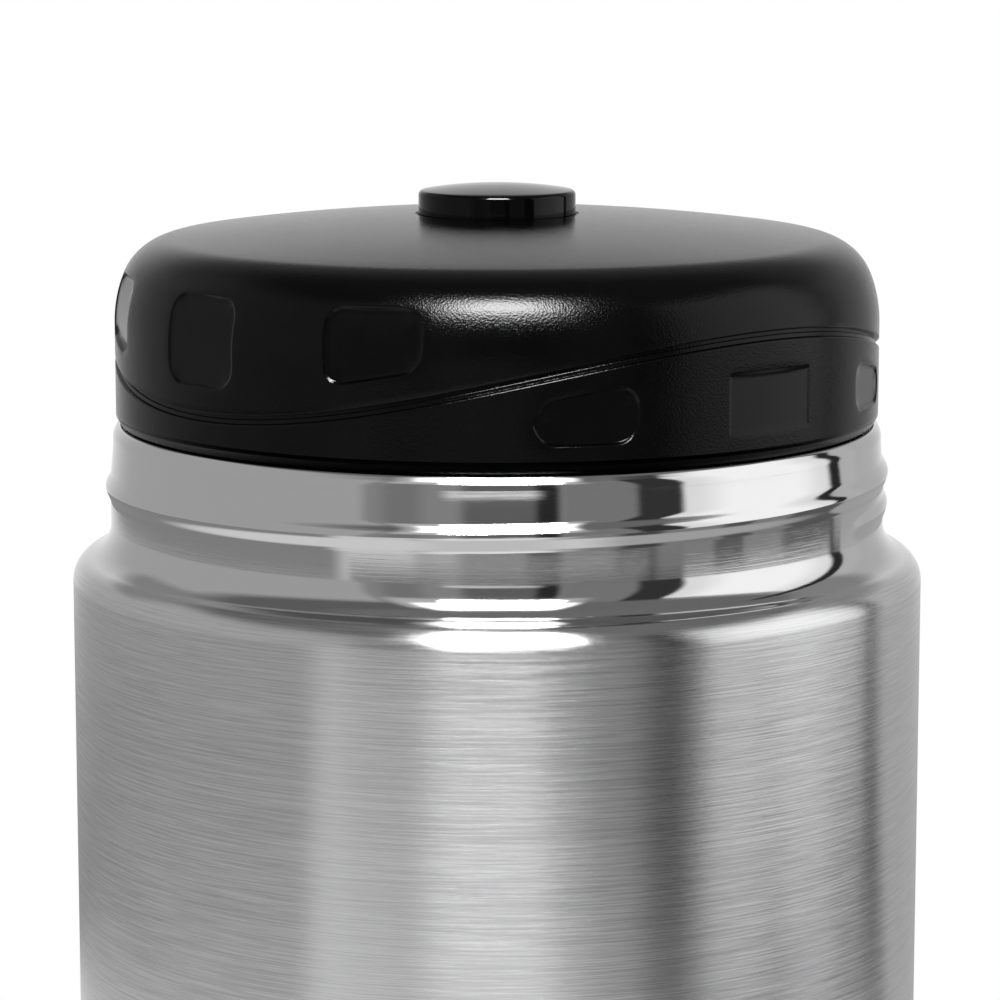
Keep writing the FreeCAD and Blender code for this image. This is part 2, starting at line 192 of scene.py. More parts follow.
fillet_run = NECK_RADIUS + NECK_FILLET - SHOULDER[0]
fillet_rise = math.sqrt((SHOULDER_ROUND + NECK_FILLET) ** 2 - fillet_run ** 2)
FILLET = (SHOULDER[0] + fillet_run, SHOULDER[1] + fillet_rise)
lean = math.degrees(math.atan2(fillet_rise, fillet_run))


def shell_outline():
    wall = SHELL_WALL
    points = [(FLANGE_RADIUS, BASE_FOOT)]
    points += arc(*BASE_CORNER, BASE_ROUND, -90, 0, 12)
    points += run(BODY_RADIUS, BASE_CORNER[1], BODY_RADIUS, SHOULDER[1], 6)
    points += arc(*SHOULDER, SHOULDER_ROUND, 0, lean, 20)
    points += arc(*FILLET, NECK_FILLET, lean + 180, 180, 24)[1:]
    rows = round((LIP_FOOT - FILLET[1]) / NECK_ROW)
    for row in range(1, rows):
        z = FILLET[1] + (LIP_FOOT - FILLET[1]) * row / rows
        ease = (1 - math.cos(math.pi * max(0.0, (z - NECK_EASE) / (LIP_FOOT - NECK_EASE)))) / 2
        points.append((NECK_RADIUS + (LIP_RADIUS - NECK_RADIUS) * ease, z))
    rounding = arc(*LIP_ROUND, LIP_LEAN, 180, 12)
    leaning = arc(LIP_RADIUS - LIP_BEND, LIP_FOOT, LIP_BEND, 0, LIP_LEAN, 10)
    points += leaning + run(*leaning[-1], *rounding[0], 0.1) + rounding
    points += LIP_INSIDE + [(NECK_RADIUS - wall, FILLET[1])]
    points += arc(*FILLET, NECK_FILLET + wall, 180, lean + 180, 8)[1:]
    points += arc(*SHOULDER, SHOULDER_ROUND - wall, lean, 0, 8)[1:]
    points += [(BODY_RADIUS - wall, BASE_CORNER[1])]
    points += arc(*BASE_CORNER, BASE_ROUND - wall, 0, -90, 6)[1:]
    points += [(FLANGE_RADIUS, BASE_FOOT + wall)]
    return points


def ridge_rise(angle, z):
    """How far the rolled ridge pushes the neck out, in millimetres."""
    rise = 0.0
    for turn in (angle, angle - 360):
        if not RIDGE_START < turn < RIDGE_END:
            continue
        to_end = min(turn - RIDGE_START, RIDGE_END - turn)
        fade = math.sin(math.pi / 2 * min(1.0, to_end / RIDGE_FADE))
        below = RIDGE_FRONT + THREAD_PITCH * turn / 360 - z
        away = abs(below) / RIDGE_HALF
        crest = math.cos(math.pi / 2 * away) ** 2 if away < 1 else 0.0
        tail = RIDGE_TAIL * crest
        if below >= 0:
            tail = RIDGE_TAIL * max(0.0, 1 - below / (z - FILLET[1] + below)) ** 2
        rise = max(rise, fade * ((RIDGE_HEIGHT - RIDGE_TAIL) * crest + tail))
    return rise


outer_shell_skin = turned("outer_shell_skin", shell_outline(), 384)
for vertex in outer_shell_skin.data.vertices:
    r = math.hypot(vertex.co.x, vertex.co.y)
    on_neck = FILLET[1] * MM + 1e-6 < vertex.co.z < RIDGE_LIMIT * MM
    if on_neck and r > (LIP_RADIUS - 0.05) * MM:
        push(vertex, 1 + ridge_rise(azimuth(vertex.co), vertex.co.z / MM) * MM / r)
finish_piece(outer_shell_skin, "jar", "brushed_steel", "outer_shell")

# %% [markdown]
# ## The liner
# The inner vessel holds the food. Its mouth has a rolled ridge that the stopper's thread climbs.
# Only its inside is ever seen, with the lid lifted, so the close rows are there.

# %% Liner
LINER_WALL = 0.5
LINER_FLOOR = 8.5
LINER_RADIUS = 46.0
LINER_ROUND = 12.0
LINER_CORNER = (LINER_RADIUS - LINER_ROUND, LINER_FLOOR + LINER_ROUND)
MOUTH_RADIUS = 43.0
MOUTH_TOP = 109.8
MOUTH_FOOT = 95.6
THREAD_DEPTH = 1.0
THREAD_SPAN = (96.0, 109.0)


def liner_outline():
    """Up the outside of the liner and down its inside, with close rows where the thread goes."""
    points = [(0, LINER_FLOOR - LINER_WALL)]
    points += arc(*LINER_CORNER, LINER_ROUND + LINER_WALL, -90, 0, 12)
    points += [(46.5, 87.15), (43.5, 95.15), (43.5, 110.0)]
    points += arc(43.25, 109.95, 0.15, 0, 180, 4)
    points += [(MOUTH_RADIUS, MOUTH_TOP)]
    points += run(MOUTH_RADIUS, MOUTH_TOP, MOUTH_RADIUS, MOUTH_FOOT, 0.2)
    points += [(43.02, MOUTH_FOOT), (43.1, 95.25), (43.3, 94.8)]
    points += run(43.3, 94.8, 45.8, 87.6, 1.2)
    points += [(45.8, 87.6), (45.95, 87.1), (LINER_RADIUS, 86.6)]
    points += run(LINER_RADIUS, 86.6, LINER_RADIUS, LINER_CORNER[1], 6)
    points += arc(*LINER_CORNER, LINER_ROUND, 0, -90, 20)
    points += run(LINER_CORNER[0], LINER_FLOOR, 0, LINER_FLOOR, 6)
    points += [(0, LINER_FLOOR)]
    return points


def screw_rise(angle, z, front_z, turns):
    """A raised screw thread with sloping flanks, from 0 on the wall to 1 on its crest."""
    half_foot, flank_width, fade_angle = 0.95, 0.5, 12
    start = angle if angle >= 0 else angle + 360
    fade = min(1.0, start / fade_angle, (360 * turns - start) / fade_angle)
    if fade <= 0:
        return 0.0
    away = abs(z - front_z - THREAD_PITCH * start / 360)
    flank = min(1.0, max(0.0, (half_foot - away) / flank_width))
    return fade * flank * flank * (3 - 2 * flank)


def raise_thread(piece, wall_radius, span, front_z, turns, depth):
    """Pushes a wall's points out along a thread, or inwards if the depth is negative."""
    for vertex in piece.data.vertices:
        r = math.hypot(vertex.co.x, vertex.co.y)
        in_span = span[0] * MM < vertex.co.z < span[1] * MM
        if in_span and abs(r - wall_radius * MM) < 0.02 * MM:
            rise = screw_rise(azimuth(vertex.co), vertex.co.z / MM, front_z, turns)
            push(vertex, 1 + rise * depth * MM / r)


inner_liner_skin = turned("inner_liner_skin", liner_outline(), 256)
raise_thread(inner_liner_skin, MOUTH_RADIUS, THREAD_SPAN, 101.05, 1.0, -THREAD_DEPTH)
finish_piece(inner_liner_skin, "jar", "liner_steel", "inner_liner")

# %% [markdown]
# ## The base
# Under the jar a thin steel cap hides the pump-out plug, and a silicone ring keeps the jar from
# sliding. Both are turned. The cap is dished in the middle and the ring has a moulded groove,
# so neither is a plain disc when the jar is seen from below.

# %% Base cap and pad
base_cap_outline = [(0, 1.5)]
base_cap_outline += run(0, 1.5, 26, 1.5, 5)
base_cap_outline += arc(26, 1.2, 0.3, 90, 60, 3)
base_cap_outline += arc(27.1, 1.45, 0.45, 225, 270, 3)
base_cap_outline += run(27.1, 1.0, 43.95, 1.0, 4)
base_cap_outline += [(43.95, 1.0), (43.95, 1.6), (27.3, 1.6), (26.3, 2.1), (0, 2.1)]
base_cap_skin = turned("base_cap_skin", base_cap_outline)
finish_piece(base_cap_skin, "jar", "plain_steel", "base_cap")

base_pad_outline = arc(31.3, 0.3, 0.3, 180, 270, 4)
base_pad_outline += arc(35.85, 0.15, 0.15, 270, 360, 3) + arc(36.15, 0.25, 0.15, 180, 90, 3)
base_pad_outline += arc(37.85, 0.25, 0.15, 90, 0, 3) + arc(38.15, 0.15, 0.15, 180, 270, 3)
base_pad_outline += arc(42.6, 0.4, 0.4, 270, 360, 6) + [(43, 1.0), (31, 1.0)]
base_pad_skin = turned("base_pad_skin", base_pad_outline)
finish_piece(base_pad_skin, "jar", "soft_grey_pad", "base_pad")

# %% [markdown]
# ## The stopper, its gasket and the valve
# These pieces show when the lid is lifted off. The stopper is a moulded cup whose thread is a
# raised rib, so its wall is turned with close rows and then the rib is pushed out along the helix.
# The gasket, the valve's seal and its retainer are small turned rings with soft edges.

# %% Stopper body
PLUG_RADIUS = 41.6
PLUG_BOTTOM = 94.55
PLUG_ROUND = 1.5
PLUG_THREAD_SPAN = (96.1, 103.5)
CLOSE_ROWS_TOP = 103.4


def stopper_outline():
    points = arc(2.4, PLUG_BOTTOM + 0.2, 0.2, 180, 270, 3)
    points += [(7.6, PLUG_BOTTOM), (7.8, PLUG_BOTTOM + 0.15), (8.2, PLUG_BOTTOM + 0.15)]
    points += [(8.4, PLUG_BOTTOM)]
    points += arc(PLUG_RADIUS - PLUG_ROUND, PLUG_BOTTOM + PLUG_ROUND, PLUG_ROUND, -90, 0, 8)
    points += run(PLUG_RADIUS, PLUG_BOTTOM + PLUG_ROUND, PLUG_RADIUS, CLOSE_ROWS_TOP, 0.18)
    points += [(PLUG_RADIUS, CLOSE_ROWS_TOP)]
    points += run(PLUG_RADIUS, CLOSE_ROWS_TOP, PLUG_RADIUS, 112.25, 1.5)
    points += [(PLUG_RADIUS, 112.25), (42.62, 112.25), (42.62, 113.75), (39.2, 113.75)]
    points += [(39.2, 97.05)] + arc(38.7, 97.05, 0.5, 0, -90, 4)[1:] + [(2.2, 96.55)]
    return points


stopper_skin = turned("stopper_skin", stopper_outline(), 256)
raise_thread(stopper_skin, PLUG_RADIUS, PLUG_THREAD_SPAN, 99.3, 0.8, THREAD_DEPTH)
finish_piece(stopper_skin, "lid", "smooth_black_plastic", "stopper_body")

# %% Gasket and valve rings
gasket_outline = arc(41.95, 110.95, 0.2, 180, 270, 4) + arc(42.55, 110.75, 0.05, 180, 0, 3)
gasket_outline += arc(43.55, 111.1, 0.35, -90, 0, 6) + [(43.9, 111.5), (41.75, 111.5)]
mouth_gasket_skin = turned("mouth_gasket_skin", gasket_outline)
finish_piece(mouth_gasket_skin, "seal", "black_silicone", "mouth_gasket")

seal_outline = [(1.6, 92.95)] + arc(3.9, 93.15, 0.2, -90, -45, 3)
seal_outline += arc(5.7, 93.98, 0.3, -30, 30, 4)
seal_outline += [(6.0, 94.45), (1.6, 94.45)]
valve_seal_skin = turned("valve_seal_skin", seal_outline, 96)
finish_piece(valve_seal_skin, "button", "black_silicone", "valve_seal")

retainer_outline = arc(1.8, 92.35, 0.2, 180, 270, 3) + arc(3.15, 92.4, 0.25, 270, 360, 4)
retainer_outline += arc(3.25, 92.8, 0.15, 0, 90, 3) + [(1.6, 92.95)]
retainer_skin = turned("retainer_skin", retainer_outline, 96)
finish_piece(retainer_skin, "button", "smooth_black_plastic", "seal_retainer")

# %% [markdown]
# ## The button and its sleeve
# The button is a glossy cap with a barely crowned top and a tight round edge, which catches a
# thin highlight. Its sleeve shows only as a thin rim where it comes up through the lid.

# %% Button and sleeve
BUTTON_RADIUS = 9.2
BUTTON_TOP = 138.3
BUTTON_EDGE = 0.6
BUTTON_EDGE_DROP = 1.3
BUTTON_FOOT = 127.1
RIM_LEVEL = 134.66


def crown(start_r, start_z, top_z, count=14):
    """Points of a shallow ball-shaped top from its edge to the axis."""
    drop = top_z - start_z
    radius = (start_r ** 2 + drop ** 2) / (2 * drop)
    edge = math.degrees(math.asin((radius - drop) / radius))
    return arc(0, top_z - radius, radius, edge, 90, count)


edge_foot = BUTTON_TOP - BUTTON_EDGE_DROP
edge_arc = arc(BUTTON_RADIUS - BUTTON_EDGE, edge_foot, BUTTON_EDGE, 0, 80, 10)
button_outline = [(0, 135.1), (1.6, 135.1), (1.6, 129.6), (3.2, 129.6), (3.2, 135.6)]
button_outline += [(7.8, 135.6), (7.8, BUTTON_FOOT), (BUTTON_RADIUS, BUTTON_FOOT)]
button_outline += run(BUTTON_RADIUS, BUTTON_FOOT, BUTTON_RADIUS, edge_foot, 2)
button_outline += edge_arc + crown(*edge_arc[-1], BUTTON_TOP)[1:]
release_button_skin = turned("release_button_skin", button_outline, 160)
finish_piece(release_button_skin, "button", "gloss_black_plastic", "release_button")

guide_outline = [(2.6, 113.75), (11.18, 113.75), (11.18, 132.5), (9.55, 132.5)]
guide_outline += arc(9.47, RIM_LEVEL, 0.08, 0, 90, 3) + arc(9.36, RIM_LEVEL, 0.08, 90, 180, 3)
guide_outline += [(9.28, 119.95), (2.6, 119.95)]
button_guide_skin = turned("button_guide_skin", guide_outline, 160)
finish_piece(button_guide_skin, "lid", "smooth_black_plastic", "button_guide")

# %% [markdown]
# ## The lid's two shells
# The lid is moulded as two shells that meet in a wavy groove, and each shell has shallow grip
# recesses with rounded corners. Cutting such recesses out of a round skin leaves ragged faces.
# It is cleaner to start from a flat grid, as from a sheet of board: its lines are set where the
# edges of the recesses run, the corners are rounded and the recesses pressed in while the sheet
# is flat, and then the sheet is rolled into a ring. The sheet also goes round the rim and back up
# the inside, so the shell closes on itself with its true wall.

# %% The flat sheet
LID_RADIUS = 44.72
LID_INSIDE = 42.72
SEAM_LEVEL = 119.64
SEAM_WAVE = 4.65
SEAM_PHASE = 5.8
GROOVE_HALF = 0.6
GRIP_STEP = 30.0
FIRST_GRIP = -77.5
SECTOR_HALF = LID_RADIUS * math.radians(GRIP_STEP / 2)
PLAIN_SLOPE = 0.4
EDGE_SHARE = 0.2
SLOPE_LINES = (0, EDGE_SHARE / 2, EDGE_SHARE, 0.5, 1 - EDGE_SHARE, 1 - EDGE_SHARE / 2, 1)


def evenly(start, end, count):
    """Places from start to end, with the start left out."""
    return [start + (end - start) * i / count for i in range(1, count + 1)]


def smooth(value):
    value = min(1.0, max(0.0, value))
    return value * value * (3 - 2 * value)


def across_grip(start, end, slope, count):
    """Places from edge to edge of a grip, close together on its two slopes."""
    places = [start + slope * share for share in SLOPE_LINES[1:]]
    places += evenly(start + slope, end - slope, count)
    return places + [end - slope * share for share in reversed(SLOPE_LINES[:-1])]


def half_width(grip):
    return LID_RADIUS * math.radians(grip["angle"])


def seam(angle):
    return SEAM_LEVEL + SEAM_WAVE * math.sin(math.radians(2 * angle + SEAM_PHASE))


def sheet_columns(grips):
    """Each column's number of grip and its place across that grip, with lines along the slopes."""
    columns = [(0, -SECTOR_HALF)]
    for k in range(12):
        if k % 6 not in grips:
            columns += [(k, x) for x in evenly(-SECTOR_HALF, SECTOR_HALF, 24)]
            continue
        half = half_width(grips[k % 6])
        across = evenly(-SECTOR_HALF, -half, 6)
        across += across_grip(-half, half, grips[k % 6]["slope"], 20)
        across += evenly(half, SECTOR_HALF, 6)
        columns += [(k, x) for x in across]
    return columns


def column_angle(k, x):
    return FIRST_GRIP + GRIP_STEP * k + math.degrees(x / LID_RADIUS)


def grip_share(grip, x):
    """1 across the grip, fading to 0 half way to the next one."""
    return smooth((SECTOR_HALF - abs(x)) / (SECTOR_HALF - half_width(grip)))


def grip_value(grips, k, x, key, plain):
    """A grip's own value across the grip, fading to the plain value between grips."""
    if k % 6 not in grips:
        return plain
    return plain + grip_share(grips[k % 6], x) * (grips[k % 6][key] - plain)


def seam_edge(grips, k, x, plain_gap):
    """Height of the grip edge that follows the groove. It is straight across each grip."""
    angle = column_angle(k, x)
    height = seam(angle)
    if k % 6 in grips:
        centre, half = column_angle(k, 0), grips[k % 6]["angle"]
        share = 0.5 + math.sin(math.radians(angle - centre)) / math.sin(math.radians(half)) / 2
        straight = seam(centre - half) * (1 - share) + seam(centre + half) * share
        height += grip_share(grips[k % 6], x) * (straight - height)
    return height + grip_value(grips, k, x, "gap", plain_gap)


def floor_depth(grip, x):
    """How deep a recess is. Its floor is flat across, so it is deepest in the middle."""
    half = math.radians(grip["angle"])
    chord = LID_RADIUS * math.cos(half) / math.cos(min(abs(x) / LID_RADIUS, half))
    return grip["depth"] + grip.get("flat", 1.0) * (LID_RADIUS - chord)


def press(inwards, slope):
    """Share of the depth at a distance inside the outline, along a slope with rounded ends."""
    share = min(1.0, max(0.0, inwards / slope))
    soft = 2 * EDGE_SHARE * (1 - EDGE_SHARE)
    if share < EDGE_SHARE:
        return share ** 2 / soft
    if share > 1 - EDGE_SHARE:
        return 1 - (1 - share) ** 2 / soft
    return (share - EDGE_SHARE / 2) / (1 - EDGE_SHARE)


def round_corner(grip, x, inwards, spread=1.8):
    """Moves a point of the sheet so that a square corner of the outline becomes a round one."""
    corner, half = grip["corner"], half_width(grip)
    a = abs(x) - (half - corner)
    b = corner - inwards
    if a <= 0 or b <= 0:
        return x, inwards
    far = max(a, b)
    pull = 1.0 if far <= corner else 1 - smooth((far - corner) / spread)
    share = 1 - pull + pull * far / math.hypot(a, b)
    return math.copysign(half - corner + a * share, x), corner - b * share


def spot(radius, angle, z, pressed=0.0, painted_shade=0.0):
    """A point of a shell, with how far it is pressed in and how much painted shade it carries."""
    turn = math.radians(angle)
    return Vector((radius * math.sin(turn), -radius * math.cos(turn), z)) * MM, pressed, painted_shade


def rolled_shell(name, columns):
    """Sets a grid primitive's points on the columns of a rolled sheet and closes it on itself."""
    deselect_all()
    wide, tall = len(columns) - 1, len(columns[0]) - 1
    bpy.ops.mesh.primitive_grid_add(x_subdivisions=wide, y_subdivisions=tall, size=0.1)
    shell = bpy.context.object
    shell.name = name
    shell.data.name = name
    spots = [columns[i % (wide + 1)][i // (wide + 1)] for i in range(len(shell.data.vertices))]
    for vertex, (co, _, _) in zip(shell.data.vertices, spots):
        vertex.co = co
    for index, kept in ((1, "pressed"), (2, "painted_shade")):
        shares = shell.data.attributes.new(kept, "FLOAT", "POINT")
        shares.data.foreach_set("value", [row[index] for row in spots])
    clean_skin(shell, 40)
    print(name, "rolled:", len(shell.data.polygons), "faces")
    return shell


# %% [markdown]
# ## The upper shell
# Seen from the side, the upper shell is a straight wall, a large arc, a tight arc and a very
# shallow crown. Distances along that line give each row of the sheet its place, so a grip recess
# is pressed in square to the surface even where the wall starts to lean in. Its floor is flat,
# like a cut across a round bar, so it is deepest in the middle.

# %% Upper shell
SIDE_FOOT = 114.0
SIDE_ARC = (LID_RADIUS - 15.0, 122.5, 15.0)
SIDE_TURN = math.radians(21.5)
CROWN = (0.0, 135.0 - 270.0, 270.0)
HOLE_RADIUS = 9.55
UPPER_GAP = 3.2
# Each grip has its corners' radius, the width of its slope, its gap to the seam, half its width
# as an angle, its depth at the sides and, where the floor isn't quite flat, how flat it is.
UPPER_GRIPS = {
    0: {"corner": 2.6, "slope": 0.36, "gap": 3.2, "angle": 7.4, "depth": 0.13},
    1: {"corner": 2.6, "slope": 0.36, "gap": 3.2, "angle": 7.3, "depth": 0.13},
    2: {"corner": 2.5, "slope": 0.36, "gap": 3.2, "angle": 7.4, "depth": 0.15},
}
RIM_ROUND = 0.16

joint_r = SIDE_ARC[0] + SIDE_ARC[2] * math.cos(SIDE_TURN)
joint_z = SIDE_ARC[1] + SIDE_ARC[2] * math.sin(SIDE_TURN)
over = (joint_r, joint_z - CROWN[1])
along = math.cos(SIDE_TURN) * over[0] + math.sin(SIDE_TURN) * over[1]
edge_round = (CROWN[2] ** 2 - math.hypot(*over) ** 2) / (2 * (CROWN[2] - along))
EDGE_ARC = (
    joint_r - edge_round * math.cos(SIDE_TURN),
    joint_z - edge_round * math.sin(SIDE_TURN),
    edge_round,
)
edge_turn = math.atan2(EDGE_ARC[1] - CROWN[1], EDGE_ARC[0])
hole_turn = math.acos(HOLE_RADIUS / CROWN[2])
SIDE_END = SIDE_ARC[1] - SIDE_FOOT
ARC_END = SIDE_END + SIDE_ARC[2] * SIDE_TURN
EDGE_END = ARC_END + edge_round * (edge_turn - SIDE_TURN)
CROWN_END = EDGE_END + CROWN[2] * (hole_turn - edge_turn)


def dome_place(along_wall):
    """Radius, height and direction of the outside at a distance along the wall."""
    if along_wall < SIDE_END:
        return LID_RADIUS, SIDE_FOOT + along_wall, 0.0
    if along_wall < ARC_END:
        centre, turn = SIDE_ARC, (along_wall - SIDE_END) / SIDE_ARC[2]
    elif along_wall < EDGE_END:
        centre, turn = EDGE_ARC, SIDE_TURN + (along_wall - ARC_END) / edge_round
    else:
        centre, turn = CROWN, edge_turn + (along_wall - EDGE_END) / CROWN[2]
    return centre[0] + centre[2] * math.cos(turn), centre[1] + centre[2] * math.sin(turn), turn


def dome_distance(z):
    if z <= SIDE_ARC[1]:
        return z - SIDE_FOOT
    if z <= joint_z:
        return SIDE_END + SIDE_ARC[2] * math.asin((z - SIDE_ARC[1]) / SIDE_ARC[2])
    return ARC_END + edge_round * (math.asin((z - EDGE_ARC[1]) / edge_round) - SIDE_TURN)


GRIP_TOP = dome_distance(128.6)


def dome_column(k, x):
    """All the points of one column, from the rim up the outside and back down the inside."""
    angle = column_angle(k, x)
    rim = seam(angle) + GROOVE_HALF
    points = []
    for turn in (0, 30, 60):
        swing = math.radians(turn)
        radius = LID_RADIUS - RIM_ROUND * (1 - math.sin(swing))
        points.append(spot(radius, angle, rim + RIM_ROUND * (1 - math.cos(swing))))
    low = dome_distance(rim + RIM_ROUND)
    near = dome_distance(seam_edge(UPPER_GRIPS, k, x, UPPER_GAP))
    slope = grip_value(UPPER_GRIPS, k, x, "slope", PLAIN_SLOPE)
    slope = min(slope, (GRIP_TOP - near) * 0.4)
    rows = [low] + evenly(low, near, 4)
    rows += across_grip(near, GRIP_TOP, slope, 14)
    rows += evenly(GRIP_TOP, EDGE_END, 12) + evenly(EDGE_END, CROWN_END, 12)
    grip = UPPER_GRIPS.get(k % 6)
    for row in rows:
        place, pressed, depth, sideways, share = row, 0.0, 0.0, x, 0.0
        if grip:
            inwards = min(half_width(grip) - abs(x), row - near, GRIP_TOP - row)
            pressed = press(inwards, grip["slope"])
            depth, share = floor_depth(grip, x) * pressed, grip_share(grip, x)
            sideways, above = round_corner(grip, x, row - near)
            shifted = dome_distance(seam_edge(UPPER_GRIPS, k, sideways, UPPER_GAP))
            place = row if sideways == x else shifted + above
            if sideways == x:
                sideways, below = round_corner(grip, x, GRIP_TOP - row)
                place = GRIP_TOP - below
        radius, z, turn = dome_place(place)
        chord = 1 + (LID_RADIUS / radius - 1) * (1 - smooth((place - GRIP_TOP) / 3))
        sideways *= 1 + (chord - 1) * share
        radius -= depth * math.cos(turn)
        points.append(spot(radius, column_angle(k, sideways), z - depth * math.sin(turn), pressed))
    inner_crown = [(HOLE_RADIUS, dome_place(CROWN_END)[1] - 2.0)]
    inner_crown += [(r, 133.0 - r * r / 536) for r in (20, 30, 34)]
    inner_crown += [(38.5, 128.9), (41.6, 126.2), (LID_INSIDE, 122.5)]
    points += [spot(r, angle, z) for r, z in inner_crown]
    points += [spot(LID_INSIDE, angle, rim), spot(LID_RADIUS - RIM_ROUND, angle, rim)]
    return points


lid_dome_skin = rolled_shell(
    "lid_dome_skin", [dome_column(k, x) for k, x in sheet_columns(UPPER_GRIPS)]
)
finish_piece(lid_dome_skin, "lid", "grained_black_plastic", "lid_dome")

# %% [markdown]
# ## The lower shell
# The grip ring is straight, so its sheet is simpler. Its upper edge is bevelled towards the
# groove. One of its recesses has nearly square corners and wider slopes, one is almost oval.

# %% Lower shell
LOWER_GRIPS = {
    3: {"corner": 2.75, "slope": 0.36, "gap": -2.4, "angle": 7.7, "depth": 0.13},
    4: {"corner": 0.5, "slope": 0.55, "gap": -3.3, "angle": 8.3, "depth": 0.06, "flat": 0.4},
    5: {"corner": 2.3, "slope": 0.36, "gap": -3.0, "angle": 7.4, "depth": 0.1},
}
LOWER_GAP = -2.9
RING_FOOT = 110.85
CHAMFER = (0.52, 0.9)
GRIP_FOOT = 113.7
GROOVE_STEPS = [
    (0, 0), (0.02, 0.08), (0.07, 0.15), (0.145, 0.2), (0.36, 0.28), (0.385, 0.34), (0.4, 0.6),
    (0.42, 0.68), (0.48, 0.73), (0.6, 0.76), (0.62, 0.82), (0.64, 1.2),
]


def ring_column(k, x):
    angle = column_angle(k, x)
    bevel_foot = seam(angle) - GROOVE_HALF
    top = bevel_foot + 2 * GROOVE_HALF
    side_foot = RING_FOOT + CHAMFER[1] + 0.45
    tall = bevel_foot - side_foot
    near = max(seam_edge(LOWER_GRIPS, k, x, LOWER_GAP), side_foot + 0.68 * tall)
    far = min(GRIP_FOOT, side_foot + 0.3 * tall)
    slope = min(grip_value(LOWER_GRIPS, k, x, "slope", PLAIN_SLOPE), (near - far) * 0.4)
    outer = LID_RADIUS
    # The chamfer, the lowest rows of the wall and the underside carry painted shade, so they
    # render black like the shade under the lid.
    points = [
        spot(outer - CHAMFER[0] * back, angle, RING_FOOT + CHAMFER[1] * up, 0, 1)
        for back, up in ((1, 0), (0.9, 0.1), (0.1, 0.9), (0, 1))
    ]
    points.append(spot(outer, angle, side_foot - 0.1, 0, 1))
    rows = [side_foot] + evenly(side_foot, far, 3)
    rows += across_grip(far, near, slope, 14)
    rows += evenly(near, bevel_foot - 0.08, 3)
    grip = LOWER_GRIPS.get(k % 6)
    for row in rows:
        place, pressed, depth, sideways = row, 0.0, 0.0, x
        if grip:
            inwards = min(half_width(grip) - abs(x), near - row, row - far)
            pressed = press(inwards, grip["slope"])
            depth = floor_depth(grip, x) * pressed
            sideways, below = round_corner(grip, x, near - row, 1.2)
            if sideways == x:
                sideways, above = round_corner(grip, x, row - far, 1.2)
                place = far + above
            else:
                place = seam_edge(LOWER_GRIPS, k, sideways, LOWER_GAP) - below
        points.append(spot(outer - depth, column_angle(k, sideways), place, pressed))
    points += [spot(outer - inwards, angle, bevel_foot + up) for inwards, up in GROOVE_STEPS]
    points.append(spot(LID_INSIDE, angle, top))
    inside = [(LID_INSIDE, 112.25), (42.02, 112.25), (42.02, 111.55), (43.95, 111.55)]
    inside += [(43.95, RING_FOOT), (outer - CHAMFER[0], RING_FOOT)]
    return points + [spot(r, angle, z, 0, 1) for r, z in inside]


grip_ring_skin = rolled_shell(
    "grip_ring_skin", [ring_column(k, x) for k, x in sheet_columns(LOWER_GRIPS)]
)
finish_piece(grip_ring_skin, "lid", "grained_black_plastic", "grip_ring")

# %% [markdown]
# ## Shared effects for the finishes
# Several finishes need the same small effects, so each effect is a node group with its own
# inputs: fine brushed lines, moulded grain, and faint smudges left by hands. A group gives out
# only values that change over the surface, and each material uses them in its own measure.

# %% Helpers for node groups and materials
def new_group(name, inputs, outputs):
    group = bpy.data.node_groups.new(name, "ShaderNodeTree")
    for socket, kind, value in inputs:
        made = group.interface.new_socket(socket, in_out="INPUT", socket_type=kind)
        if value is not None:
            made.default_value = value
    for socket in outputs:
        group.interface.new_socket(socket, in_out="OUTPUT", socket_type="NodeSocketFloat")
    return group, group.nodes.new("NodeGroupInput"), group.nodes.new("NodeGroupOutput")


class Bench:
    """Places nodes in one tree, each with its settings and the sockets that feed it."""

    def __init__(self, tree):
        self.tree = tree

    def link(self, value, socket):
        self.tree.links.new(value, socket)

    def node(self, kind, feeds=None, **settings):
        made = self.tree.nodes.new("ShaderNode" + kind)
        for key, value in settings.items():
            setattr(made, key, value)
        for socket, value in (feeds or {}).items():
            if isinstance(value, bpy.types.NodeSocket):
                self.link(value, made.inputs[socket])
            else:
                made.inputs[socket].default_value = value
        return made

    def effect(self, group, feeds):
        return self.node("Group", feeds, node_tree=group)

    def sum(self, operation, a, b):
        return self.node("Math", {0: a, 1: b}, operation=operation).outputs[0]

    def scaled(self, value, times, plus):
        """The value times one number, plus another number or value."""
        return self.sum("ADD", self.sum("MULTIPLY", value, times), plus)

    def noise(self, place, scale, detail=2.0, roughness=0.5):
        feeds = {"Vector": place, "Scale": scale, "Detail": detail, "Roughness": roughness}
        return self.node("TexNoise", feeds).outputs["Fac"]

    def stretched_noise(self, place, scale, detail, roughness=0.5):
        """Noise with a scale of its own along each axis, counted per metre."""
        mapped = self.node("Mapping", {"Vector": place, "Scale": scale})
        return self.noise(mapped.outputs[0], 1.0, detail, roughness)

    def ramp(self, value, low, high, to_low=0.0, to_high=1.0, smoothed=True):
        kind = "SMOOTHSTEP" if smoothed else "LINEAR"
        feeds = {"Value": value, "From Min": low, "From Max": high}
        feeds.update({"To Min": to_low, "To Max": to_high})
        return self.node("MapRange", feeds, interpolation_type=kind).outputs[0]

    def mix(self, share, a, b):
        """A mix of two colours, which the Mix node takes in its sockets 6 and 7."""
        return self.node("Mix", {0: share, 6: a, 7: b}, data_type="RGBA").outputs[2]

    def blend(self, share, a, b):
        """A mix of two plain values."""
        return self.node("Mix", {"Factor": share, "A": a, "B": b}).outputs[0]


# %% Brushed lines, moulded grain and handling marks
VECTOR, FLOAT = "NodeSocketVector", "NodeSocketFloat"

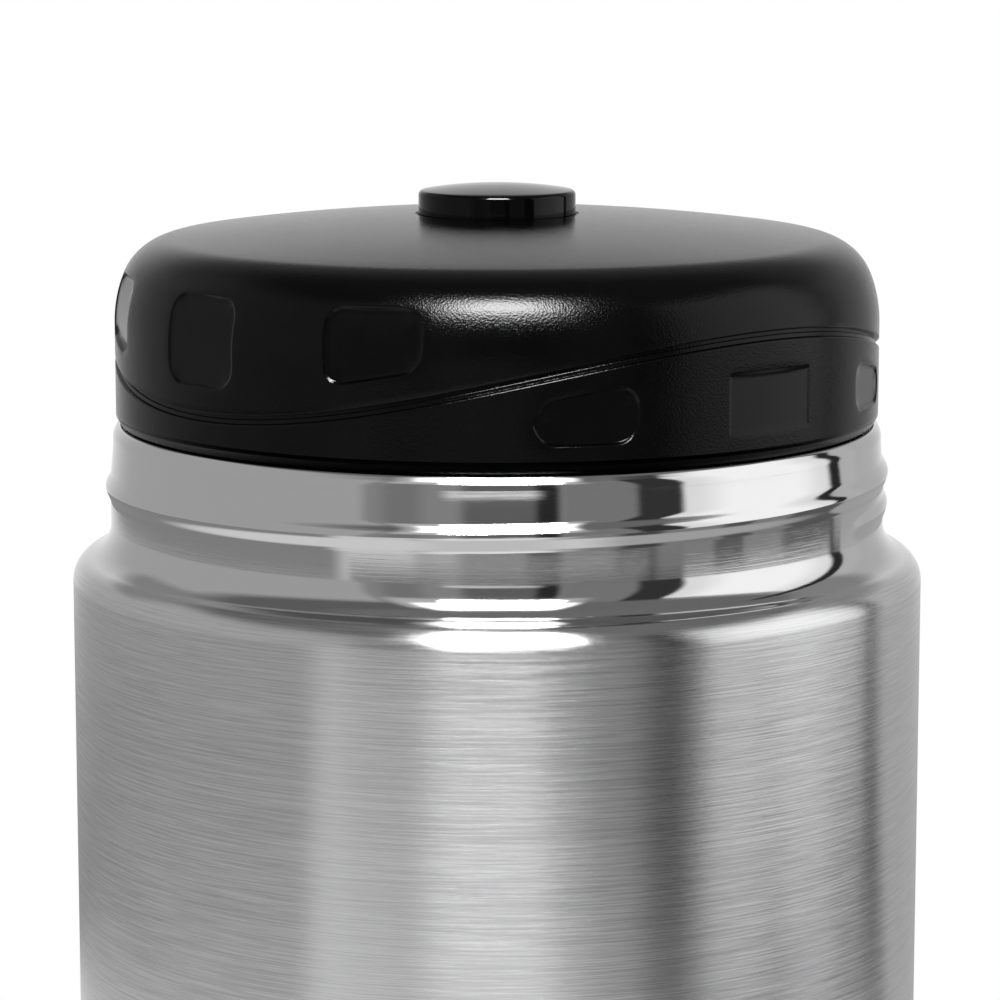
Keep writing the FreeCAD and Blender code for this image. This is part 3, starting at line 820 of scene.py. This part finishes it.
brushed_lines, given, result = new_group(
    "brushed_lines", [("Place", VECTOR, None), ("Fineness", FLOAT, 1.0)], ["Height", "Streaks"]
)
bench = Bench(brushed_lines)
feeds = {0: given.outputs["Place"], "Scale": given.outputs["Fineness"]}
sized = bench.node("VectorMath", feeds, operation="SCALE").outputs[0]
fine = bench.stretched_noise(sized, (110, 110, 9000), 3.0, 0.6)
long_lines = bench.stretched_noise(sized, (50, 50, 4800), 2.0)
broad = bench.stretched_noise(sized, (14, 14, 420), 2.0)
height = bench.scaled(fine, 0.7, bench.sum("MULTIPLY", long_lines, 0.3))
bench.link(height, result.inputs["Height"])
streaks = bench.scaled(fine, 0.7, bench.sum("MULTIPLY", long_lines, 0.24))
streaks = bench.scaled(broad, 0.06, streaks)
bench.link(bench.ramp(streaks, 0.35, 0.65), result.inputs["Streaks"])

moulded_grain, given, result = new_group(
    "moulded_grain", [("Place", VECTOR, None), ("Size", FLOAT, 1.0)], ["Height", "Mottle"]
)
bench = Bench(moulded_grain)
feeds = {0: given.outputs["Place"], "Scale": given.outputs["Size"]}
sized = bench.node("VectorMath", feeds, operation="SCALE").outputs[0]
feeds = {"Vector": sized, "Scale": 2600.0, "Smoothness": 0.6}
cells = bench.node("TexVoronoi", feeds, feature="SMOOTH_F1").outputs["Distance"]
pores = bench.noise(sized, 3800.0, 2.0, 0.6)
grain = bench.scaled(cells, 0.7, bench.sum("MULTIPLY", pores, 0.5))
bench.link(grain, result.inputs["Height"])
mottle = bench.noise(sized, 180.0, 3.0, 0.6)
bench.link(bench.ramp(mottle, 0.35, 0.65), result.inputs["Mottle"])

handling_marks, given, result = new_group(
    "handling_marks", [("Place", VECTOR, None), ("Amount", FLOAT, 1.0)], ["Smudge", "Specks"]
)
bench = Bench(handling_marks)
place, amount = given.outputs["Place"], given.outputs["Amount"]
cloud = bench.ramp(bench.noise(place, 45.0, 4.0, 0.6), 0.45, 0.75)
bench.link(bench.sum("MULTIPLY", cloud, amount), result.inputs["Smudge"])
dust = bench.node("TexVoronoi", {"Vector": place, "Scale": 420.0})
speck = bench.ramp(dust.outputs["Distance"], 0.06, 0.1, 1.0, 0.0)
chance = bench.node("SeparateColor", {0: dust.outputs["Color"]}).outputs[0]
rare = bench.ramp(chance, 0.9, 0.92)
specks = bench.sum("MULTIPLY", bench.sum("MULTIPLY", speck, rare), amount)
bench.link(specks, result.inputs["Specks"])
print("shared effects:", [g.name for g in bpy.data.node_groups])

# %% [markdown]
# ## Steel finishes
# Brushing leaves fine lines round the body. They spread a reflection up and down but hardly
# sideways, which is what the shader's anisotropy does, and the lines themselves are a bump.
# On the neck the same steel is polished, so one material fades from one state to the other at
# the shoulder, along an edge that is not quite straight, as a polishing wheel leaves it.

# %% Steel
def new_material(name, metallic=0.0, **constants):
    material = bpy.data.materials.new(name)
    material.use_nodes = True
    shader = material.node_tree.nodes["Principled BSDF"]
    shader.inputs["Metallic"].default_value = metallic
    for socket, value in constants.items():
        shader.inputs[socket.replace("_", " ")].default_value = value
    bench = Bench(material.node_tree)
    place = bench.node("TexCoord").outputs["Object"]
    return material, shader, bench, place


def bump(bench, shader, height, distance, strength=1.0):
    made = bench.node("Bump", {"Height": height, "Distance": distance, "Strength": strength})
    bench.link(made.outputs[0], shader.inputs["Normal"])


BRUSHED = ((0.6, 0.6, 0.605, 1), (0.74, 0.74, 0.745, 1))
POLISHED = (0.65, 0.65, 0.65, 1)
POLISH_EDGE = (0.0955, 0.0966)

brushed_steel, shader, bench, place = new_material(
    "brushed_steel", 1.0, Anisotropic=0.95, Anisotropic_Rotation=0.25
)
lines = bench.effect(brushed_lines, {"Place": place, "Fineness": 1.0})
marks = bench.effect(handling_marks, {"Place": place, "Amount": 0.6})
height = bench.node("SeparateXYZ", {0: place}).outputs["Z"]
waver = bench.stretched_noise(place, (30, 30, 30), 2.0)
edge = bench.scaled(waver, 0.003, height)
polished = bench.ramp(edge, *POLISH_EDGE)
matt = bench.scaled(lines.outputs["Streaks"], 0.06, 0.18)
shine = bench.scaled(marks.outputs["Smudge"], 0.03, 0.05)
bench.link(bench.blend(polished, matt, shine), shader.inputs["Roughness"])
bright = bench.mix(lines.outputs["Streaks"], *BRUSHED)
bench.link(bench.mix(polished, bright, POLISHED), shader.inputs["Base Color"])
lines_left = bench.ramp(polished, 0.0, 1.0, 1.0, 0.2, smoothed=False)
bump(bench, shader, bench.sum("MULTIPLY", lines.outputs["Height"], lines_left), 0.000024, 0.8)

liner_steel, shader, bench, place = new_material("liner_steel", 1.0, Anisotropic=0.5)
lines = bench.effect(brushed_lines, {"Place": place, "Fineness": 0.7})
marks = bench.effect(handling_marks, {"Place": place, "Amount": 1.0})
rough = bench.scaled(lines.outputs["Streaks"], 0.08, 0.24)
rough = bench.scaled(marks.outputs["Smudge"], 0.08, rough)
bench.link(rough, shader.inputs["Roughness"])
colour = bench.mix(lines.outputs["Streaks"], (0.66, 0.66, 0.665, 1), (0.74, 0.74, 0.745, 1))
bench.link(colour, shader.inputs["Base Color"])
bump(bench, shader, lines.outputs["Height"], 0.00002, 0.6)


def mottled(bench, shader, place, colours, roughness, smudge, grain_size, bump_height):
    """The finish that moulded and cast pieces share. Returns the colour and the marks."""
    grain = bench.effect(moulded_grain, {"Place": place, "Size": grain_size})
    marks = bench.effect(handling_marks, {"Place": place, "Amount": smudge[0]})
    bench.link(
        bench.scaled(marks.outputs["Smudge"], smudge[1], roughness), shader.inputs["Roughness"]
    )
    bump(bench, shader, grain.outputs["Height"], bump_height)
    return bench.mix(grain.outputs["Mottle"], *colours), marks


def simple_metal(name, dark, light, roughness, grain_size, bump_height):
    material, shader, bench, place = new_material(name, 1.0)
    colours = ((dark, dark, dark * 1.01, 1), (light, light, light, 1))
    colour, _ = mottled(
        bench, shader, place, colours, roughness, (1.0, 0.1), grain_size, bump_height
    )
    bench.link(colour, shader.inputs["Base Color"])
    return material


plain_steel = simple_metal("plain_steel", 0.56, 0.66, 0.34, 0.7, 0.00001)
getter_alloy = simple_metal("getter_alloy", 0.36, 0.48, 0.6, 0.5, 0.00008)
bright_foil = simple_metal("bright_foil", 0.78, 0.86, 0.16, 0.15, 0.0001)
spring_steel = simple_metal("spring_steel", 0.58, 0.68, 0.22, 1.5, 0.00001)

# %% [markdown]
# ## Plastics, silicone and foam
# The lid's plastic is black with a fine grain like leather, so its highlights break up into
# small sparks. The button is the same black without grain. Silicone is duller and slightly dusty.

# %% Plastics and soft finishes
def soft_finish(name, dark, light, roughness, smudge, grain_size, bump_height, **constants):
    material, shader, bench, place = new_material(name, 0.0, **constants)
    colour, marks = mottled(
        bench, shader, place, (dark, light), roughness, (smudge, 0.12), grain_size, bump_height
    )
    dusty = tuple(min(1.0, 2 * c + 0.004) for c in light[:3]) + (1,)
    colour = bench.mix(marks.outputs["Specks"], colour, dusty)
    bench.link(colour, shader.inputs["Base Color"])
    return material


def grey(value):
    return (value, value, value * 1.02, 1)


grained_black_plastic, shader, bench, place = new_material(
    "grained_black_plastic", 0.0, Specular_IOR_Level=0.15
)
grain = bench.effect(moulded_grain, {"Place": place, "Size": 1.75})
marks = bench.effect(handling_marks, {"Place": place, "Amount": 0.3})
pressed = bench.node("Attribute", attribute_name="pressed").outputs["Fac"]
painted_shade = bench.node("Attribute", attribute_name="painted_shade").outputs["Fac"]
colour = bench.mix(grain.outputs["Mottle"], grey(0.001), grey(0.0014))
bench.link(colour, shader.inputs["Base Color"])
rough = bench.scaled(marks.outputs["Smudge"], 0.05, 0.18)
bench.link(bench.blend(pressed, rough, 0.13), shader.inputs["Roughness"])
# Painted shade: where a shell carries it, the black plastic turns metallic and reflects nothing,
# so it renders black.
bench.link(painted_shade, shader.inputs["Metallic"])
grain_left = bench.ramp(pressed, 0.0, 1.0, 1.0, 0.15, smoothed=False)
bump(bench, shader, bench.sum("MULTIPLY", grain.outputs["Height"], grain_left), 0.000022)

smooth_black_plastic = soft_finish(
    "smooth_black_plastic", grey(0.006), grey(0.009), 0.3, 0.6, 0.6, 0.000015,
    Specular_IOR_Level=0.3
)
gloss_black_plastic = soft_finish(
    "gloss_black_plastic", grey(0.001), grey(0.0014), 0.06, 0.3, 0.2, 0.000004,
    Specular_IOR_Level=0.16
)
black_silicone = soft_finish("black_silicone", grey(0.012), grey(0.018), 0.55, 1.0, 0.5, 0.00002)
soft_grey_pad = soft_finish("soft_grey_pad", grey(0.075), grey(0.1), 0.62, 1.0, 0.5, 0.00003)
insulation = soft_finish(
    "insulation", (0.72, 0.66, 0.5, 1), (0.82, 0.77, 0.62, 1), 0.8, 0.5, 0.3, 0.0003
)

# %% [markdown]
# ## Putting the finishes on
# Each new piece takes the finish listed for it in the table below. The measured pieces that stay
# hidden inside get theirs too, so that nothing is left plain if the jar is taken apart.

# %% Finishes on every piece
WORN_ON = {
    brushed_steel: [outer_shell_skin],
    liner_steel: [inner_liner_skin],
    plain_steel: [base_cap_skin, nodes["shell_bottom"], nodes["vacuum_plug"]],
    getter_alloy: [nodes["getter"]],
    bright_foil: [nodes["liner_foil"]],
    spring_steel: [nodes["button_spring"]],
    grained_black_plastic: [lid_dome_skin, grip_ring_skin],
    smooth_black_plastic: [
        stopper_skin, retainer_skin, button_guide_skin,
        nodes["stopper_cap"], nodes["stem_sleeve"], nodes["valve_stem"],
    ],
    gloss_black_plastic: [release_button_skin],
    black_silicone: [mouth_gasket_skin, valve_seal_skin, nodes["stem_oring"]],
    soft_grey_pad: [base_pad_skin],
    insulation: [nodes["stopper_foam"]],
}
for finish, pieces in WORN_ON.items():
    for piece in pieces:
        if not piece.material_slots:
            piece.data.materials.append(finish)
        for slot in piece.material_slots:
            slot.material = finish
print("finishes on", sum(len(pieces) for pieces in WORN_ON.values()), "pieces")

# %% [markdown]
# ## The studio
# The world is painted with the things that polished steel mirrors in a studio: a high light over
# the camera, a large soft panel on the right, black cards beside them and grey walls.
# The camera itself sees plain white behind the jar.

# %% World
world = bpy.data.worlds.new("studio")
world.use_nodes = True
bpy.context.scene.world = world
bench = Bench(world.node_tree)
world.node_tree.nodes.clear()


def in_degrees(bench, angle):
    return bench.sum("MULTIPLY", angle, 180 / math.pi)


def turn_of(bench, axes):
    """Degrees round the jar's axis, 0 in front and more to the right."""
    back = bench.sum("MULTIPLY", axes.outputs["Y"], -1.0)
    return in_degrees(bench, bench.sum("ARCTAN2", axes.outputs["X"], back))


def band(bench, value, low, high, soft):
    """1 between two angles and 0 outside, with soft edges."""
    into = bench.ramp(value, low - soft / 2, low + soft / 2)
    out = bench.ramp(value, high - soft / 2, high + soft / 2, 1.0, 0.0)
    return bench.sum("MULTIPLY", into, out)


def card(light, left, right, low, high, strength, soft_sides, soft_ends):
    """A lit or black panel at angles round and above the jar, laid over the light so far."""
    sides = band(bench, turn, left, right, soft_sides)
    mask = bench.sum("MULTIPLY", sides, band(bench, rise, low, high, soft_ends))
    return bench.blend(mask, light, strength)


# The table's patches as steel mirrors them: left, right, strength and soft edge.
TABLE = 0.3
TABLE_PATCHES = [
    (-46, -22, 0.8, 8), (-22, -10, 0.55, 8), (-10, 8, 0.27, 8), (8.5, 19, 0.07, 4),
    (19, 34, 0.28, 6), (34, 47, 0.08, 6), (48, 66, 0.27, 6), (66, 77, 0.12, 3), (77, 92, 0.28, 4),
    (92, 118, 0.13, 5), (118, 200, 0.45, 4),
]


def table_light(bench, turn, away=None):
    """How bright the table looks in the steel, by its direction and distance from the jar; on the
    sheet it is painted as a glow.
    """
    light = TABLE
    for left, right, strength, soft in TABLE_PATCHES:
        light = bench.blend(band(bench, turn, left, right, soft), light, strength)
    if away is None:
        return light
    near = bench.ramp(turn, 22, 42, 0.85, 0.5)
    light = bench.blend(bench.ramp(away, 0.15, 0.21), near, light)
    # A painted reflection of the high light, in the middle of the table, which the body's lower
    # part mirrors.
    inside = bench.ramp(away, 0.37, 0.42, 1, 0)
    middle = bench.sum("MULTIPLY", band(bench, turn, -20, 18, 18), inside)
    return bench.blend(middle, light, bench.ramp(away, 0.15, 0.35, 0.75, 1.25))


WHITE = (1, 1, 1, 1)
# Each card is left, right, low, high, strength, soft sides and soft ends, with angles in degrees.
WALLS = 0.48
CARDS = [
    (118, 220, -99, 99, 0.55, 2, 4),
    (118, 132, -99, 99, 0.6, 6, 4),
    (-220, -156, -99, 99, 0.86, 44, 4),
    (160, 220, -99, 99, 0.84, 30, 4),
    (118, 220, 24, 99, 0.3, 10, 8),
    (-220, -130, 24, 99, 0.3, 20, 8),
    (-39, 60, -99, 99, 0.31, 5, 4),
    (-33, -22, -99, 99, 0.24, 6, 4),
    (-10, 12, -99, 99, 0.155, 5, 4),
    (11, 18, -99, 99, 0.03, 3, 4),
    (19, 41, -99, 99, 0.25, 3, 4),
    (41, 57, -99, 99, 0.045, 3, 4),
    (-150, -35, 44, 99, 0.15, 10, 12),
    (-35, 28, 30, 60, 0.6, 8, 6),
    (28, 150, 43, 99, 0.19, 8, 6),
    (55.5, 114, -11, 40, 1.05, 2.5, 1),
    (66, 105, -11, 40, 1.34, 16, 3),
    (115.2, 121, -12, 50, 0.03, 1.5, 4),
    (-15, 12, -8.6, -5, 1.0, 6, 1),
    (-220, 220, 66, 120, 0.2, 1, 10),
    (-29, 28, 44, 66, 2.5, 6, 6),
]
HIGH_LIGHT = (-17, 20, 36.5, 61)
HIGH_STRENGTH, MORE_IN_REFLECTIONS = 15.0, 57.0
TABLE_EDGE = (-10.3, -10.0)
TABLE_CARDS = [(-45, 45, -12.8, -11.8, 0.6, 4, 0.4), (-43, 45, -11.6, -10.1, 0.18, 4, 0.3)]

axes = bench.node("SeparateXYZ", {0: bench.node("TexCoord").outputs["Generated"]})
turn = turn_of(bench, axes)
rise = in_degrees(bench, bench.sum("ARCSINE", axes.outputs["Z"], 0.0))
light = WALLS
for spread in CARDS:
    light = card(light, *spread)
paths = bench.node("LightPath")
# Reflections see the high light brighter than it shines on surfaces without gloss.
high = bench.scaled(paths.outputs["Is Glossy Ray"], MORE_IN_REFLECTIONS, HIGH_STRENGTH)
light = card(light, *HIGH_LIGHT, high, 5, 4)
light = bench.blend(bench.ramp(rise, *TABLE_EDGE, 1.0, 0.0), light, table_light(bench, turn))
for spread in TABLE_CARDS:
    light = card(light, *spread)
light = bench.sum("MAXIMUM", light, paths.outputs["Is Camera Ray"])
background = bench.node("Background", {"Color": WHITE, "Strength": light})
bench.link(background.outputs[0], bench.node("OutputWorld").inputs[0])
bpy.context.scene.view_settings.view_transform = "Standard"
print("world:", len(CARDS) + len(TABLE_CARDS) + 1, "cards and", len(TABLE_PATCHES), "patches")

# %% [markdown]
# ## The sheet under the jar
# Close to the jar a pale sheet keeps its soft shadow. Further out the camera sees it as plain
# white, and for the steel it glows with painted table patches and a painted reflection of the
# high light, so the lower body mirrors a table.

# %% Floor
FLOOR_RADIUS = 0.42
FADE_TO_WHITE, FADE_TO_PATCHES = (0.09, 0.15), (0.055, 0.09)

deselect_all()
bpy.ops.mesh.primitive_circle_add(
    vertices=96, radius=FLOOR_RADIUS, fill_type="NGON", location=(0, 0, 0)
)
floor = bpy.context.object
floor.name = "floor"

floor_paper, shader, bench, place = new_material("floor_paper", 0.0, Roughness=0.9)
away = bench.node("VectorMath", {0: place}, operation="LENGTH").outputs["Value"]
tooth = bench.noise(place, 900.0, 3.0)
paper = bench.mix(tooth, (0.8, 0.8, 0.8, 1), (0.84, 0.84, 0.84, 1))
bench.link(paper, shader.inputs["Base Color"])
paths = bench.node("LightPath")
white = bench.node("Emission", {"Color": WHITE, "Strength": 1.0})
share = bench.sum("MULTIPLY", bench.ramp(away, *FADE_TO_WHITE), paths.outputs["Is Camera Ray"])
blend = bench.node("MixShader", {0: share, 1: shader.outputs[0], 2: white.outputs[0]})
turn = turn_of(bench, bench.node("SeparateXYZ", {0: place}))
# Painted reflection: glossy rays see the sheet glow with the table's patches instead of lit paper.
painted_reflection = bench.node("Emission", {"Color": WHITE, "Strength": table_light(bench, turn, away)})
share = bench.sum("MULTIPLY", bench.ramp(away, *FADE_TO_PATCHES), paths.outputs["Is Glossy Ray"])
blend = bench.node("MixShader", {0: share, 1: blend.outputs[0], 2: painted_reflection.outputs[0]})
bench.link(blend.outputs[0], bench.tree.nodes["Material Output"].inputs["Surface"])
floor.data.materials.append(floor_paper)
print("studio ready")
